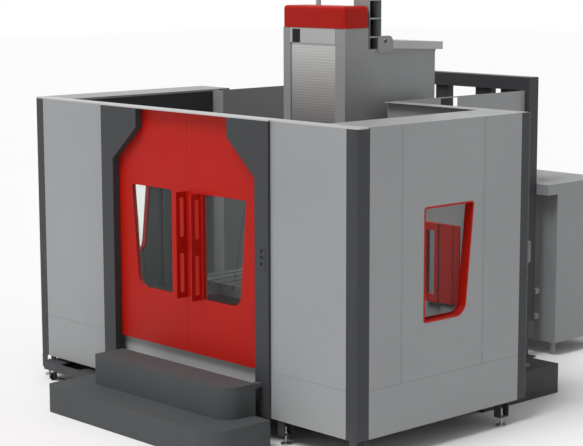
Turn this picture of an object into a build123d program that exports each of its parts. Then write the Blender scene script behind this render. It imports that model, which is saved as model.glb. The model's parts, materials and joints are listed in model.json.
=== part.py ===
from build123d import *
import os

os.makedirs("parts", exist_ok=True)

# Travelling-column machining center, millimetres, X to the right, Y to the back, Z up.
# The floor is z = 0 and the front skin of the enclosure is y = 0 until the export moves everything back.

# Enclosure
wall_x = 2000.0
wall_y = 1930.0
wall_bottom = 195.0
wall_top = 2495.0
sheet = 4.0
skin_depth = 34.0
seam_width = 3.0
seam_depth = 1.5
seam_height = 561.0
seam_places = (451.0, 467.0, 1365.0, 1381.0)
stiffener_places = (530.0, 1420.0)
stiffener_width = 40.0
fit = 0.3

# Top flanges and corner posts
flange_width = 410.0
lip_height = 14.0
liner_height = 260.0
liner_lip = 40.0
liner_ribs = (660.0, 1210.0)
post_leg = 120.0
post_sheet = 6.0
post_radius = 30.0
header_back = 108.0
header_thickness = 10.0
rear_flange_front = 1760.0
rear_flange_back = 1900.0
rear_skin = 1810.0
rear_return = 56.0

# Doors and pilasters, measured from the middle of the doorway
door_x = 30.0
doorway_half = 885.0
pilaster_width = 155.0
pilaster_front = -25.0
pilaster_back = 40.0
wing_half = 567.0
wing_low = 2050.0
wing_high = 2330.0
door_front = 45.0
door_depth = 45.0
door_overlap = 25.0
door_low = 540.0
door_top = 2481.0
door_frame_top = 2455.0
door_gap = 2.0
rail_depth = 16.0
rail_height = 20.0
hanger_length = 120.0
window_inner = 200.0
window_top_half = 713.0
window_low_half = 638.0
window_top = 1845.0
window_low = 1000.0
window_corner = 100.0
window_small_corner = 12.0
pane_thickness = 6.0
pane_rim = 14.0

# Door handles
handle_low = 990.0
handle_high = 1850.0
handle_sheet = 8.0
handle_front = -60.0
left_handle_x = 13.0
right_handle_x = 200.0
handle_foot = 24.0
slot_front = 38.0
slot_back = 76.0
slot_low_pair = (1035.0, 1355.0)
slot_high_pair = (1485.0, 1805.0)

# Side windows
side_window_front = 711.0
side_window_top_back = 1241.0
side_window_low_back = 1154.0
side_window_low = 995.0
reveal_depth = 62.0

# Push buttons
button_reach = 80.0
button_heights = (1395.0, 1445.0, 1495.0)
button_radius = 11.0
button_stand = 6.0
button_stem = 6.0
button_fit = 0.06
button_travel = 3.0
button_plate_half = 42.0
button_plate_low = 1354.0
button_plate_high = 1528.0
button_plate_sheet = 3.0
button_block_depth = 26.0

# Base frame, sill and feet
tube = 60.0
tie_places = (-1060.0, 1000.0)
pan_height = 255.0
chute = (-1700.0, -1100.0, 140.0, 380.0)
sill_front = 96.0
sill_top = 566.0
bracket_low = 75.0
bracket_width = 100.0
bracket_depth = 70.0
foot_pad_radius = 38.5
foot_pad_height = 12.0
foot_stem_radius = 10.0
foot_nut_radius = 17.0
foot_nut_height = 14.0
right_feet = ((1950.0, 52.0), (1165.0, 62.0), (1955.0, 1672.0))
left_feet = ((-1950.0, 52.0), (-960.0, 62.0), (-1955.0, 1672.0))
rear_feet = ((-1000.0, 1780.0), (1100.0, 1780.0))

# Steps
step_sheet = 5.0
lower_step_left = -915.0
lower_step_right = 1190.0
lower_step_front = -700.0
lower_step_back = -120.0
lower_step_top = 229.0
lower_step_radius = 200.0
upper_step_left = -655.0
upper_step_reach = 85.0
upper_step_front = -405.0
upper_step_back = -100.0
upper_step_top = 477.0
upper_step_radius = 150.0
left_step_radius = 60.0

# Chip tray
tray_left = -1845.0
tray_right = -1000.0
tray_front = -82.0
tray_back = 400.0
tray_low = 90.0
tray_top = 165.0
tray_sheet = 3.0
tray_mouth = (-1610.0, -1330.0, -70.0, 80.0)
caster_radius = 32.5
caster_width = 28.0
axle_radius = 6.0
axle_fit = 0.06
axle_y = (-50.0, 350.0)
caster_x = (-1750.0, -1095.0)

# Bed and table
bed_low = 80.0
bed_top = 640.0
bed_rib = 30.0
bed_edge = 60.0
bed_pocket_depth = 30.0
bed_pockets = 8
rear_bed_pockets = 6
bed_pad_radius = 60.0
bed_pad_inset = 90.0
cross_pad_shares = (-0.925, -0.625, -0.3125, 0.3125, 0.625, 0.925)
rear_pad_shares = (0.07, 0.5, 0.95)
bearing_half = 50.0
bearing_length = 60.0
bearing_rise = 30.0
cross_half = 1600.0
cross_front = 450.0
cross_back = 1150.0
rail_top = 675.0
rail_width = 40.0
cross_rails = (560.0, 1040.0)
table_x = 15.0
table_y = 800.0
saddle_half = 450.0
saddle_depth_half = 370.0
saddle_low = 690.0
saddle_top = 870.0
turntable_radius = 350.0
turntable_top = 940.0
pallet_half = 400.0
pallet_corner = 110.0
pallet_low = 960.0
pallet_top = 1055.0
pallet_boss_radius = 180.0
slot_pitch = 150.0
slot_neck = 22.0
slot_foot = 37.0
slot_neck_depth = 22.0
slot_foot_depth = 16.0
fixture_radius = 8.5
fixture_circle = 200.0
cover_length = 590.0
cover_sheet = 3.0
cover_low = 645.0
cover_top = 722.0
cover_front = 440.0
cover_back = 1160.0
screw_radius = 20.0
screw_fit = 0.06
screw_z = 665.0
motor_side = 130.0
motor_length = 180.0

# Column
column_x = 23.5
column_half = 376.5
column_wall = 25.0
column_front = 1450.0
column_front_wall = 80.0
column_side_back = 2480.0
column_strip_depth = 12.0
column_base = 60.0
column_roof = 40.0
opening_sill = 30.0
column_runner_y = (1580.0, 2330.0)
column_runner_half = 80.0
column_nut_half = 45.0
column_nut_front = 1900.0
column_nut_length = 100.0
column_nut_gap = 5.0
screw_foot_half = 50.0
screw_foot_height = 30.0
column_strip_back = 2567.0
column_low = 700.0
column_top_front = 2931.0
column_top_back = 2905.0
tower_back = 1726.0
cap_low = 3110.0
cap_top = 3295.0
cap_radius = 30.0
cap_overlap = 4.0
cap_wall = 8.0
opening_left = -265.0
opening_right = 284.0
opening_low = 690.0
opening_high = 2981.0
window_plate_sheet = 3.0
window_plate_gap = 5.0
sensor_inset = 26.0
sensor_width = 98.0
sensor_edge = 7.0
slab_front = 2004.0
slab_back = 2630.0
slab_overhang = 22.0
slab_thickness = 68.0
lug_sheet = 18.0
lug_setback = 108.0
lug_drop = 31.0
lug_rise = 110.0
lug_radius = 45.0
lug_eye_back = 78.0
lug_eye_drop = 46.0
lug_eye_radius = 20.0
head_rail_inset = 30.5
head_rail_low = 100.0
head_rail_high = 45.0
head_rail_width = 34.0
head_rail_depth = 25.0
slat_count = 32
slat_depth = 12.0
slat_front = 1457.0
rear_bed_half = 400.0
column_rail_reach = 280.0

# Head
head_half = 240.0
head_low = 1065.0
head_top = 1455.0
head_inner_front = 1475.0
head_back = 1740.0
nut_back = 1860.0
spindle_z = 1205.0
nose_block_half = 190.0
nose_block_front = 1300.0
nose_radius = 130.0
nose_front = 1150.0
spindle_radius = 64.0
spindle_front = 1100.0
spindle_bore = 35.0
head_screw_y = 1800.0
head_screw_top = 2700.0
shutter_length = 375.0
shutter_sheet = 3.0

# Rear parts
left_guard_x = -1450.0
right_guard_x = 550.0
guard_front = 1700.0
guard_back = 3610.0
guard_window = (2470.0, 2690.0, 1500.0, 2485.0)
left_guard_ribs = (0.06, 0.5, 0.88)
right_guard_ribs = (0.16, 0.56, 0.88)
rear_bed_setback = 190.0
portal_depth = 130.0
portal_top = 2615.0
portal_left = -1570.0
portal_right = 600.0
magazine_base_left = 620.0
magazine_base_right = 1600.0
magazine_base_back = 2840.0
magazine_base_top = 256.0
disc_x = 1485.0
disc_y = 2010.0
disc_z = 1200.0
pocket_circle = 400.0
pocket_count = 20
pocket_radius = 44.0
pocket_length = 66.0
disc_thickness = 24.0
disc_hub_radius = 90.0
disc_hub_front = 1980.0
shaft_radius = 25.0
shaft_fit = 0.06
shaft_length = 260.0
shaft_bore = 200.0
stand_x = 1350.0
stand_y = 2400.0
stand_foot_half = (170.0, 160.0)
stand_foot_height = 30.0
stand_post_half = (110.0, 100.0)
stand_drop = 130.0
stand_rise = 140.0
arm_depth = 100.0
arm_reach = 110.0
bearing_radius = 60.0
stand_bearing = 110.0
drive_half = 90.0
drive_length = 140.0
drive_drop = 60.0
drive_rise = 120.0
magazine_window = (1040.0, 1136.0, 930.0, 1470.0)
cabinet_left = -860.0
cabinet_right = 740.0
cabinet_gap = 140.0
cabinet_depth = 720.0
cabinet_low = 129.0
cabinet_top = 1534.0
cabinet_slab_top = 1631.0
cabinet_wall = 25.0
cabinet_leaf = 24.0
cabinet_hinges = (380.0, 1280.0)
hinge_height = 45.0
pin_radius = 8.0
pin_offset = 13.0
switch_z = 1250.0
switch_radius = 32.0
switch_depth = 34.0

# Upright duct and lamp pole
duct_left = 210.0
duct_right = 400.0
duct_front = 1740.0
duct_back = 1880.0
duct_length = 629.0
duct_rung_pitch = 155.0
pole_x = -284.0
pole_y = 1800.0
pole_radius = 23.0
pole_length = 589.0

# Worked-out places
rear_bed_back = guard_back - rear_bed_setback
portal_front = guard_back
button_x = door_x + doorway_half + button_reach
upper_step_right = door_x + doorway_half + upper_step_reach
portal_back = portal_front + portal_depth
cabinet_slab_front = portal_back
cabinet_front = portal_back + cabinet_gap
cabinet_back = cabinet_front + cabinet_depth
duct_top = column_top_front + duct_length
pole_top = column_top_front + pole_length
magazine_base_front = rear_skin + rear_return
cabinet_middle = (cabinet_left + cabinet_right) / 2
pin_y = cabinet_back + 1 + cabinet_leaf / 2
rear_reach = cabinet_back + 1 + cabinet_leaf + switch_depth
centre_y = (lower_step_front + rear_reach) / 2


def block(x0, x1, y0, y1, z0, z1):
    """Box between six planes."""
    size = Box(x1 - x0, y1 - y0, z1 - z0)
    return Pos((x0 + x1) / 2, (y0 + y1) / 2, (z0 + z1) / 2) * size


def rod(place, axis, radius, length):
    """Cylinder that starts at a point and runs along +X, +Y or +Z."""
    turns = {"X": Rot(0, 90, 0), "Y": Rot(-90, 0, 0), "Z": Rot(0, 0, 0)}
    shaft = Cylinder(radius, length, align=(Align.CENTER, Align.CENTER, Align.MIN))
    return Pos(*place) * turns[axis] * shaft


def face_of(points):
    """Flat face inside a closed loop of points."""
    return make_face(Polyline(*points, close=True))


def plan_slab(points, z0, z1):
    """Outline seen from above, raised from z0 to z1."""
    face = face_of([(x, y, z0) for x, y in points])
    return extrude(face, z1 - z0, dir=(0, 0, 1))


def front_slab(face, y0, y1):
    """Face drawn as (x, z), carried from y0 back to y1."""
    place = Plane(origin=(0, y0, 0), x_dir=(1, 0, 0), z_dir=(0, -1, 0))
    return extrude(place * face, y1 - y0, dir=(0, 1, 0))


def side_slab(face, x0, x1):
    """Face drawn as (y, z), carried from x0 to x1."""
    place = Plane(origin=(x0, 0, 0), x_dir=(0, 1, 0), z_dir=(1, 0, 0))
    return extrude(place * face, x1 - x0, dir=(1, 0, 0))


def round_corner(face, x, y, radius):
    """Round the corner of a flat face that lies nearest to a point."""
    corner = min(face.vertices(), key=lambda v: (v.X - x) ** 2 + (v.Y - y) ** 2)
    return fillet([corner], radius)


def window_face(points, radii, grow=0.0):
    """Window outline with its own radius at each corner."""
    face = Sketch() + face_of([(a, b, 0) for a, b in points])
    for (a, b), radius in zip(points, radii):
        face = round_corner(face, a, b, radius)
    if grow:
        face = offset(face, grow)
    return face


def door_window(side, grow=0.0):
    """Outline of a door window, side -1 left and +1 right."""
    inner = door_x + side * window_inner
    points = [
        (inner, window_low),
        (door_x + side * window_low_half, window_low),
        (door_x + side * window_top_half, window_top),
        (inner, window_top),
    ]
    radii = [window_small_corner, window_corner, window_small_corner, window_small_corner]
    return window_face(points, radii, grow)


def side_window(grow=0.0):
    """Outline of a side window in (y, z)."""
    points = [
        (side_window_front, side_window_low),
        (side_window_low_back, side_window_low),
        (side_window_top_back, window_top),
        (side_window_front, window_top),
    ]
    radii = [window_small_corner, window_corner, window_small_corner, window_small_corner]
    return window_face(points, radii, grow)


def right_wall():
    """Outer skin with returns, stiffeners, seams and the wide top flange."""
    skin_x = wall_x - sheet
    back = wall_y - post_leg
    top = wall_top - sheet
    wall = block(skin_x, wall_x, post_leg, back, wall_bottom, top)
    wall += block(wall_x - flange_width, wall_x, header_back, rear_flange_front, top, wall_top)
    wall += block(
        wall_x - flange_width, wall_x - flange_width + sheet,
        header_back, rear_flange_front, top - lip_height, top,
    )
    for y in (post_leg, back - sheet):
        wall += block(wall_x - skin_depth, skin_x, y, y + sheet, wall_bottom, top)
    for y in stiffener_places:
        wall += block(wall_x - skin_depth, skin_x, y, y + sheet, pan_height + sheet, top)
        wall += block(
            wall_x - skin_depth, wall_x - skin_depth + sheet, y - skin_depth, y,
            pan_height + sheet, top,
        )
    for y in seam_places:
        groove = block(
            wall_x - seam_depth, wall_x, y - seam_width / 2, y + seam_width / 2,
            seam_height, top,
        )
        wall -= groove
    wall -= block(
        wall_x - seam_depth, wall_x, post_leg, back,
        seam_height - seam_width / 2, seam_height + seam_width / 2,
    )
    wall -= side_slab(side_window(sheet + fit), wall_x - skin_depth - sheet, wall_x)
    return wall


def liner():
    """Deep stiffening sheet and ribs under the inner edge of the right top flange."""
    x0 = wall_x - flange_width + sheet
    top = wall_top - sheet
    back = wall_y - post_leg
    low = top - liner_height
    edge = block(x0, x0 + sheet, header_back, back, low, top)
    edge += block(x0, x0 + liner_lip, header_back, back, low, low + sheet)
    parts = [edge]
    for y in (header_back, *liner_ribs, back - sheet):
        parts.append(block(x0 + sheet, wall_x - skin_depth, y, y + sheet, low + sheet, top))
    return parts


def window_frame():
    """Deep red reveal of the right window with a thin outer rim and a pane stop."""
    inner_x = wall_x - reveal_depth
    outer = side_slab(side_window(sheet), inner_x, wall_x)
    frame = outer - side_slab(side_window(), inner_x, wall_x)
    rim = side_slab(side_window(pane_rim), wall_x, wall_x + 2)
    rim -= side_slab(side_window(), wall_x, wall_x + 2)
    stop = side_slab(side_window(sheet), inner_x - 2, inner_x)
    stop -= side_slab(side_window(-pane_rim), inner_x - 2, inner_x)
    return frame + rim + stop


def wall_pane():
    """Pane of the right window, resting on the stop."""
    inner_x = wall_x - reveal_depth
    return side_slab(side_window(-fit), inner_x, inner_x + pane_thickness)


def front_panel(x0, x1):
    """Light panel between a corner post and a pilaster."""
    top = wall_top - header_thickness
    panel = block(x0, x1, 0, sheet, wall_bottom, top)
    for x in (x0, x1 - sheet):
        panel += block(x, x + sheet, sheet, skin_depth, wall_bottom, top)
    for z in (wall_bottom, top - sheet):
        panel += block(x0, x1, sheet, skin_depth, z, z + sheet)
    panel -= block(
        x0, x1, 0, seam_depth, seam_height - seam_width / 2, seam_height + seam_width / 2
    )
    return panel


def pilaster():
    """Folded pilaster right of the doorway with its slanted wing."""
    outer = door_x + doorway_half + pilaster_width
    inner = door_x + doorway_half
    wing = door_x + wing_half
    top = wall_top - header_thickness
    points = [
        (inner, wall_bottom), (outer, wall_bottom), (outer, top),
        (wing, top), (wing, wing_high), (inner, wing_low),
    ]
    outline = face_of([(x, z, 0) for x, z in points])
    shell = front_slab(outline, pilaster_front, pilaster_back)
    hollow = front_slab(offset(outline, -sheet), pilaster_front + sheet, pilaster_back)
    shell -= hollow
    return shell


def button_plate():
    """Plate of the three buttons with a contact block behind each."""
    front = pilaster_front - button_plate_sheet
    plate = block(
        button_x - button_plate_half, button_x + button_plate_half,
        front, pilaster_front, button_plate_low, button_plate_high,
    )
    back = pilaster_front + sheet + button_block_depth
    for z in button_heights:
        half = button_radius + 4
        plate += block(button_x - half, button_x + half, pilaster_front, back, z - half, z + half)
        bore = rod((button_x, front, z), "Y", button_stem + button_fit, button_block_depth)
        plate -= bore
    return plate


def button_openings():
    """Cut-outs in the pilaster skin for the contact blocks."""
    half = button_radius + 4
    cut = Part()
    for z in button_heights:
        cut += block(
            button_x - half, button_x + half,
            pilaster_front, pilaster_front + sheet, z - half, z + half,
        )
    return cut


def button(z):
    """Push button: domed head and stem."""
    front = pilaster_front - button_plate_sheet
    head = rod((button_x, front - button_stand, z), "Y", button_radius, button_stand - button_travel)
    head = fillet(head.edges().group_by(Axis.Y)[0], 1.5)
    length = button_travel + button_block_depth - 2 * button_travel
    return head + rod((button_x, front - button_travel, z), "Y", button_stem, length)


def corner_post(front):
    """Dark folded angle on the right corner, front or rear."""
    y_edge = 0.0 if front else wall_y
    y_leg = post_leg if front else wall_y - post_leg
    top = wall_top - (header_thickness if front else sheet)
    corner = [(wall_x, y_edge), (wall_x - post_leg, y_edge), (wall_x - post_leg, y_leg), (wall_x, y_leg)]
    outline = Sketch() + face_of([(x, y, 0) for x, y in corner])
    outline = round_corner(outline, wall_x, y_edge, post_radius)
    post = Pos(0, 0, wall_bottom) * extrude(outline, top - wall_bottom)
    y0 = min(y_edge, y_leg)
    inner = [
        (wall_x - post_sheet, y_edge + (post_sheet if front else -post_sheet)),
        (wall_x - post_leg, y_edge + (post_sheet if front else -post_sheet)),
        (wall_x - post_leg, y_leg), (wall_x - post_sheet, y_leg),
    ]
    hollow = Sketch() + face_of([(x, y, 0) for x, y in inner])
    hollow = round_corner(hollow, inner[0][0], inner[0][1], post_radius - post_sheet)
    post -= Pos(0, 0, wall_bottom) * extrude(hollow, top - wall_bottom)
    return post


def front_header():
    """Thin light strip over the front wall with the rail that carries the doors."""
    low = wall_top - header_thickness
    outline = [
        (-wall_x, 0), (door_x - doorway_half - pilaster_width, 0),
        (door_x - doorway_half - pilaster_width, pilaster_front),
        (door_x + doorway_half + pilaster_width, pilaster_front),
        (door_x + doorway_half + pilaster_width, 0), (wall_x, 0),
        (wall_x, header_back), (-wall_x, header_back),
    ]
    face = Sketch() + face_of([(x, y, 0) for x, y in outline])
    face = round_corner(face, -wall_x, 0, post_radius)
    face = round_corner(face, wall_x, 0, post_radius)
    strip = Pos(0, 0, low) * extrude(face, header_thickness)
    rail_y = door_front + door_depth / 2 - rail_depth / 2
    half = wall_x - 2 * skin_depth
    strip += block(-half, half, rail_y, rail_y + rail_depth, low - rail_height, low)
    return strip


def door(side):
    """Sliding door: skin, returns, window cut-out and two hangers on the rail."""
    seam = door_x + side * door_gap / 2
    edge = door_x + side * (doorway_half + door_overlap)
    x0 = min(seam, edge)
    x1 = max(seam, edge)
    back = door_front + door_depth
    skin = front_slab(face_of([(x0, door_low, 0), (x1, door_low, 0), (x1, door_top, 0), (x0, door_top, 0)]),
                      door_front, door_front + sheet)
    ring = block(x0, x1, door_front + sheet, back, door_low, door_frame_top)
    ring -= block(
        x0 + sheet, x1 - sheet, door_front + sheet, back,
        door_low + sheet, door_frame_top - sheet,
    )
    window_ring = front_slab(door_window(side, pane_rim + sheet), door_front + sheet, back)
    leaf = skin + ring + window_ring
    leaf -= front_slab(door_window(side, pane_rim), door_front + sheet + pane_thickness, back)
    leaf -= front_slab(door_window(side, pane_rim), door_front + sheet, back)
    leaf -= front_slab(door_window(side), door_front, back)
    rail_y = door_front + door_depth / 2 - rail_depth / 2
    low = wall_top - header_thickness - rail_height
    for x in (x0 + 40, x1 - 40 - hanger_length):
        shoe = block(
            x, x + hanger_length, rail_y - 8, rail_y + rail_depth + 8,
            door_frame_top, door_top - 2,
        )
        shoe -= block(
            x, x + hanger_length, rail_y - fit, rail_y + rail_depth + fit, low - fit, wall_top,
        )
        leaf += shoe
    return leaf


def door_pane(side):
    """Pane seated behind the rim of a door window."""
    face = door_window(side, pane_rim - fit)
    return front_slab(face, door_front + sheet, door_front + sheet + pane_thickness)


def door_handle(x, side):
    """Upright plate with two grip slots and a folded foot on the door."""
    x0 = x - handle_sheet / 2
    x1 = x + handle_sheet / 2
    plate = block(x0, x1, handle_front, door_front, handle_low, handle_high)
    foot_x0 = x0 if side > 0 else x0 - handle_foot
    foot_x1 = x1 + handle_foot if side > 0 else x1
    plate += block(foot_x0, foot_x1, door_front - 5, door_front, handle_low, handle_high)
    for low, high in (slot_low_pair, slot_high_pair):
        slot = block(
            x0, x1, handle_front + slot_front, handle_front + slot_back, low, high,
        )
        plate -= fillet(slot.edges().filter_by(Axis.X), 12)
    return plate


def rear_wall(x0, x1):
    """Folded edges and top flange of a rear wall, as flat pieces."""
    top = wall_top - sheet
    front = rear_skin + sheet
    back = rear_skin + rear_return
    return [
        block(x0, x0 + sheet, front, back, wall_bottom, top),
        block(x1 - sheet, x1, front, back, wall_bottom, top),
        block(x0 + sheet, x1 - sheet, front, back, wall_bottom, wall_bottom + sheet),
        block(x0, x1, rear_flange_front, rear_flange_back, top, wall_top),
        block(x0, x1, rear_flange_back - sheet, rear_flange_back, top - lip_height, top),
    ]


def rear_right_wall():
    """Rear wall right of the column bay, with four sheets around the tool window."""
    x0 = right_guard_x
    x1 = wall_x - post_sheet
    left, right, low, high = magazine_window
    back = rear_skin + sheet
    top = wall_top - sheet
    return rear_wall(x0, x1) + [
        block(x0, left, rear_skin, back, wall_bottom, top),
        block(right, x1, rear_skin, back, wall_bottom, top),
        block(left, right, rear_skin, back, wall_bottom, low),
        block(left, right, rear_skin, back, high, top),
    ]


def rear_left_wall():
    """Rear wall left of the column bay with a light end post."""
    x0 = -wall_x + post_sheet
    x1 = -wall_x + flange_width
    post_low = pan_height + sheet
    post_top = wall_top - sheet - lip_height
    return rear_wall(x0, x1) + [
        block(x0, x1, rear_skin, rear_skin + sheet, wall_bottom, wall_top - sheet),
        block(x1 - sheet, x1, guard_front, rear_skin, post_low, post_top),
    ]


def left_guard():
    """Guard of the column bay on the left: sheets, front return and ribs."""
    x1 = left_guard_x
    x0 = x1 - sheet
    low = pan_height + sheet
    top = wall_top - sheet
    parts = [
        block(x0, x1, rear_skin, guard_back, wall_bottom, wall_top),
        block(x0, x1, guard_front, rear_skin, low, wall_top),
        block(-wall_x + flange_width, x0, guard_front, guard_front + sheet, low, top),
    ]
    for share in left_guard_ribs:
        y = rear_skin + share * (guard_back - rear_skin)
        parts.append(block(x1 - skin_depth, x0, y, y + stiffener_width, wall_bottom, top))
    return parts


def right_guard():
    """Guard of the column bay on the right: sheets around its service opening, and ribs."""
    x1 = right_guard_x
    x0 = x1 - sheet
    front, back, low, high = guard_window
    start = rear_skin + rear_return
    top = wall_top - sheet
    parts = [
        block(x0, x1, rear_skin, start, wall_bottom, top),
        block(x0, x1, start, front, wall_bottom, wall_top),
        block(x0, x1, back, guard_back, wall_bottom, wall_top),
        block(x0, x1, front, back, wall_bottom, low),
        block(x0, x1, front, back, high, wall_top),
    ]
    for share in right_guard_ribs:
        y = rear_skin + share * (guard_back - rear_skin)
        parts.append(block(x1 - skin_depth, x0, y, y + stiffener_width, wall_bottom, top))
    return parts


def rear_portal():
    """Dark portal: beam, outer posts on foot plates and two hanging uprights."""
    portal = block(portal_left, portal_right, portal_front, portal_back, wall_top, portal_top)
    for x0, x1 in ((portal_left, portal_left + 120), (portal_right - 120, portal_right)):
        portal += block(x0, x1, portal_front, portal_back, 345, wall_top)
        portal += block(x0, x1, portal_front, portal_front + 50, 12, 345)
        portal += block(x0 - 30, x1 + 30, portal_front - 0, portal_back, 0, 12)
    for x0, x1 in ((-570.0, -410.0), (-70.0, 120.0)):
        portal += block(x0, x1, portal_front + 30, portal_back - 30, 1900, wall_top)
    portal += block(portal_left + 120, portal_right - 120, portal_front + 30, portal_back - 30, 1820, 1900)
    portal += block(220, portal_right - 120, portal_front + 50, portal_front + 54, 1900, wall_top)
    return portal


def bearing(x0, x1, y0, y1):
    """Bearing block of a ball screw, bolted on the bed."""
    return block(x0, x1, y0, y1, bed_top, screw_z + bearing_rise)


def bed():
    """T-shaped bed: two castings with shallow ribbed sides, machine mounts and bearing blocks."""
    left = column_x - rear_bed_half
    right = column_x + rear_bed_half
    low = bed_low + bed_edge
    high = bed_top - bed_edge
    cross = block(-cross_half, cross_half, cross_front, cross_back, bed_low, bed_top)
    pitch = 2 * cross_half / bed_pockets
    for i in range(bed_pockets):
        x0 = -cross_half + i * pitch + bed_rib
        x1 = -cross_half + (i + 1) * pitch - bed_rib
        cross -= block(x0, x1, cross_front, cross_front + bed_pocket_depth, low, high)
    rear = block(left, right, cross_back, rear_bed_back, bed_low, bed_top)
    pitch = (rear_bed_back - cross_back) / rear_bed_pockets
    for i in range(rear_bed_pockets):
        y0 = cross_back + i * pitch + bed_rib
        y1 = cross_back + (i + 1) * pitch - bed_rib
        rear -= block(left, left + bed_pocket_depth, y0, y1, low, high)
        rear -= block(right - bed_pocket_depth, right, y0, y1, low, high)
    parts = [cross, rear]
    for share in cross_pad_shares:
        for y in (cross_front + bed_pad_inset, cross_back - bed_pad_inset):
            parts.append(rod((share * cross_half, y, 0), "Z", bed_pad_radius, bed_low))
    for share in rear_pad_shares:
        y = cross_back + share * (rear_bed_back - cross_back)
        for x in (left + bed_pad_inset, right - bed_pad_inset):
            parts.append(rod((x, y, 0), "Z", bed_pad_radius, bed_low))
    bore = screw_radius + screw_fit
    y0 = table_y - bearing_half
    y1 = table_y + bearing_half
    for x in (-cross_half + 40, cross_half - 40 - bearing_length):
        hole = rod((x, table_y, screw_z), "X", bore, bearing_length)
        parts.append(bearing(x, x + bearing_length, y0, y1) - hole)
    x0 = column_x - bearing_half
    x1 = column_x + bearing_half
    for y in (cross_back + 30, rear_bed_back - 20 - bearing_length):
        hole = rod((column_x, y, screw_z), "Y", bore, bearing_length)
        parts.append(bearing(x0, x1, y, y + bearing_length) - hole)
    return parts


def linear_rails():
    """Four guide rails: two along X for the table, two along Y for the column."""
    rails = []
    for y in cross_rails:
        rails.append(block(
            -cross_half + 30, cross_half - 30, y - rail_width / 2, y + rail_width / 2,
            bed_top, rail_top,
        ))
    for side in (-1, 1):
        x = column_x + side * column_rail_reach
        rails.append(block(
            x - rail_width / 2, x + rail_width / 2, cross_back + 30, rear_bed_back - 20,
            bed_top, rail_top,
        ))
    return rails


def runner(x, y, along_x, half_length, top):
    """Guide block that straddles a rail."""
    reach = rail_width / 2 + fit
    cheek = reach + 22
    low = bed_top + 8
    if along_x:
        body = block(x - half_length, x + half_length, y - cheek, y + cheek, low, top)
        groove = block(x - half_length, x + half_length, y - reach, y + reach, low, rail_top + fit)
    else:
        body = block(x - cheek, x + cheek, y - half_length, y + half_length, low, top)
        groove = block(x - reach, x + reach, y - half_length, y + half_length, low, rail_top + fit)
    return body - groove


def axis_motors():
    """Servo motors at the ends of the table screw and the column screw."""
    half = motor_side / 2
    x0 = cross_half
    motor_x = block(x0, x0 + motor_length, table_y - half, table_y + half, screw_z - half, screw_z + half)
    y0 = rear_bed_back
    motor_y = block(column_x - half, column_x + half, y0, y0 + motor_length, screw_z - half, screw_z + half)
    return [motor_x, motor_y]


def table_screw():
    """Ball screw of the table."""
    return rod((-cross_half + 60, table_y, screw_z), "X", screw_radius, 2 * cross_half - 60)


def column_screw():
    """Ball screw of the column."""
    start = cross_back + 60
    return rod((column_x, start, screw_z), "Y", screw_radius, rear_bed_back - start)


def saddle():
    """Table saddle: body, rail runners, screw nut and the turntable housing."""
    x0 = table_x - saddle_half
    x1 = table_x + saddle_half
    y0 = table_y - saddle_depth_half
    y1 = table_y + saddle_depth_half
    body = block(x0, x1, y0, y1, saddle_low, saddle_top)
    body = chamfer(body.edges().group_by(Axis.Z)[-1], 20)
    body += rod((table_x, table_y, saddle_top), "Z", turntable_radius, turntable_top - saddle_top)
    for x in (x0 + 110, x1 - 110):
        for y in cross_rails:
            body += runner(x, y, True, 90, saddle_low)
    nut = block(
        table_x - 60, table_x + 60, table_y - 45, table_y + 45, bed_top + 5, saddle_low,
    )
    nut -= rod((table_x - 60, table_y, screw_z), "X", screw_radius + screw_fit, 120)
    body += nut
    return body


def pallet():
    """Square pallet with cut corners, T-slots and a fixture hole circle."""
    half = pallet_half
    cut = pallet_corner
    points = [
        (-half + cut, -half), (half - cut, -half), (half, -half + cut), (half, half - cut),
        (half - cut, half), (-half + cut, half), (-half, half - cut), (-half, -half + cut),
    ]
    place = Pos(table_x, table_y, 0)
    plate = place * plan_slab(points, pallet_low, pallet_top)
    for i in range(-2, 3):
        x = i * slot_pitch
        z = pallet_top - slot_neck_depth
        plate -= place * block(x - slot_neck / 2, x + slot_neck / 2, -half, half, z, pallet_top)
        plate -= place * block(x - slot_foot / 2, x + slot_foot / 2, -half, half, z - slot_foot_depth, z)
    boss = rod((0, 0, turntable_top), "Z", pallet_boss_radius, pallet_low - turntable_top)
    plate += place * boss
    for angle in (22.0, 112.0, 202.0, 292.0):
        hole = Rot(0, 0, angle) * rod((fixture_circle, 0, pallet_top - 30), "Z", fixture_radius, 30)
        plate -= place * hole
    return plate


def way_cover(x0, x1, level):
    """Roof-shaped sliding cover plate, higher levels slide over lower ones."""
    step = level * (cover_sheet + fit)
    top = cover_top + step
    front = cover_front - step
    back = cover_back + step
    cover = block(x0, x1, front - cover_sheet, back + cover_sheet, cover_low, top + cover_sheet)
    cover -= block(x0, x1, front, back, cover_low, top)
    return cover


def bed_end_covers():
    """Fixed way covers at both ends of the cross bed."""
    covers = []
    for side in (-1, 1):
        outer = side * cross_half
        inner = side * (cross_half - cover_length)
        x0 = min(outer, inner)
        x1 = max(outer, inner)
        cover = way_cover(x0, x1, 0)
        wall0 = min(outer, outer - side * cover_sheet)
        wall1 = max(outer, outer - side * cover_sheet)
        wall = block(wall0, wall1, cover_front, cover_back, bed_top, cover_top)
        for y in (cover_front - cover_sheet, cover_back - 20):
            cover += block(wall0, wall1, y, y + 23, bed_top, cover_low)
        wall -= rod((wall0, table_y, screw_z), "X", screw_radius + 20, cover_sheet)
        covers.append(cover + wall)
    return covers


def saddle_covers():
    """Way covers carried on both sides of the saddle."""
    covers = []
    for side in (-1, 1):
        inner = table_x + side * saddle_half
        outer = inner + side * cover_length
        covers.append(way_cover(min(inner, outer), max(inner, outer), 2))
    return covers


def middle_cover(side):
    """Middle way cover, half way between the fixed one and the saddle's one."""
    fixed = side * (cross_half - cover_length / 2)
    moving = table_x + side * (saddle_half + cover_length / 2)
    middle = (fixed + moving) / 2
    return way_cover(middle - cover_length / 2, middle + cover_length / 2, 1)


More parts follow.
